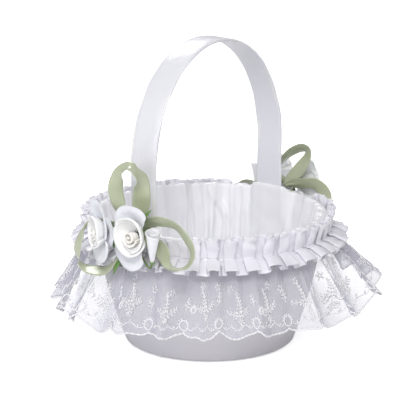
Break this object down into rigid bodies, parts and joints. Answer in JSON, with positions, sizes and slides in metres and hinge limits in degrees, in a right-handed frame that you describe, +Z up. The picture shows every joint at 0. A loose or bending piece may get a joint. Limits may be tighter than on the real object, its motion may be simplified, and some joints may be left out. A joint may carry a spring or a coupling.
{
  "type": "flower girl basket",
  "caption": "Round satin-covered basket with a fixed arched handle, a pleated ribbon rim over a scalloped lace frill, and sprays of foam roses with ribbon bows at the handle feet.",
  "frame": {"origin": "centre of the flat underside, on the surface the basket stands on", "axes": "+Z up; the handle arches over the X axis, one foot at -X and one at +X"},
  "size_m": [0.2608, 0.2608, 0.239],
  "materials": {
    "satin_outer": "white bridal satin, smooth over the tub",
    "satin_lining": "white satin, gathered in soft upright folds",
    "satin_handle": "white satin with a faint lavender cast",
    "satin_ribbon": "pleated white satin ribbon",
    "lace": "sheer organza with white embroidery",
    "tape": "woven cotton tape",
    "thread": "white sewing thread",
    "tub_plastic": "moulded white plastic",
    "strip_plastic": "stiff plastic strip",
    "board": "grey-white board",
    "wadding": "polyester wadding",
    "glue": "hot-melt adhesive",
    "sage_ribbon": "sage green satin ribbon",
    "wire_green": "paper-wrapped green wire",
    "foam_white": "white foam sheet, matte",
    "foam_pale": "pale blue-white foam sheet",
    "foam_cream": "cream foam sheet",
    "leaf_green": "green cloth leaf"
  },
  "bodies": {
    "basket": {"tub": "tub_plastic", "outer_cover": "satin_outer", "base_cover": "satin_outer", "lining": "satin_lining", "handle_strip": "strip_plastic", "handle_sleeve": "satin_handle", "handle_glue_pads": "glue", "lace_heading_tape": "tape", "lace_frill": "lace", "pleated_trim": "satin_ribbon", "trim_stitches": "thread", "left_bow": "sage_ribbon", "left_binding": "wire_green", "right_bow": "sage_ribbon", "right_binding": "wire_green"},
    "floor_insert": {"insert_board": "board", "insert_wadding": "wadding", "insert_satin": "satin_lining"},
    "left_front_rose": {"left_front_rose_centre": "foam_cream", "left_front_rose_petals": "foam_white", "left_front_rose_outer_petals": "foam_pale", "left_front_rose_calyx": "leaf_green", "left_front_rose_stem": "wire_green"},
    "left_side_rose": {"left_side_rose_centre": "foam_cream", "left_side_rose_petals": "foam_white", "left_side_rose_outer_petals": "foam_pale", "left_side_rose_calyx": "leaf_green", "left_side_rose_stem": "wire_green"},
    "left_bud": {"left_bud_petal": "foam_white", "left_bud_calyx": "leaf_green", "left_bud_stem": "wire_green"},
    "right_front_rose": {"right_front_rose_centre": "foam_cream", "right_front_rose_petals": "foam_white", "right_front_rose_outer_petals": "foam_pale", "right_front_rose_calyx": "leaf_green", "right_front_rose_stem": "wire_green"},
    "right_side_rose": {"right_side_rose_centre": "foam_cream", "right_side_rose_petals": "foam_white", "right_side_rose_outer_petals": "foam_pale", "right_side_rose_calyx": "leaf_green", "right_side_rose_stem": "wire_green"},
    "right_bud": {"right_bud_petal": "foam_white", "right_bud_calyx": "leaf_green", "right_bud_stem": "wire_green"}
  },
  "joints": [
    {"name": "floor_insert_lift", "type": "slide", "parent": "basket", "child": "floor_insert", "axis": [0, 0, 1], "range_m": [0, 0.105]},
    {"name": "left_front_rose_nod", "type": "hinge", "parent": "basket", "child": "left_front_rose", "pos_m": [-0.1045, -0.007, 0.109], "axis": [0, -1, 0], "range_deg": [-7, 8]},
    {"name": "left_side_rose_nod", "type": "hinge", "parent": "basket", "child": "left_side_rose", "pos_m": [-0.1045, -0.0034, 0.109], "axis": [0, -1, 0], "range_deg": [-8, 5]},
    {"name": "left_bud_sway", "type": "hinge", "parent": "basket", "child": "left_bud", "pos_m": [-0.1045, -0.0075, 0.1055], "axis": [-1, 0, 0], "range_deg": [-4, 10]},
    {"name": "right_front_rose_nod", "type": "hinge", "parent": "basket", "child": "right_front_rose", "pos_m": [0.1045, 0.007, 0.109], "axis": [0, 1, 0], "range_deg": [-7, 8]},
    {"name": "right_side_rose_nod", "type": "hinge", "parent": "basket", "child": "right_side_rose", "pos_m": [0.1045, 0.0034, 0.109], "axis": [0, 1, 0], "range_deg": [-8, 5]},
    {"name": "right_bud_sway", "type": "hinge", "parent": "basket", "child": "right_bud", "pos_m": [0.1045, 0.0075, 0.1055], "axis": [1, 0, 0], "range_deg": [-4, 10]}
  ]
}
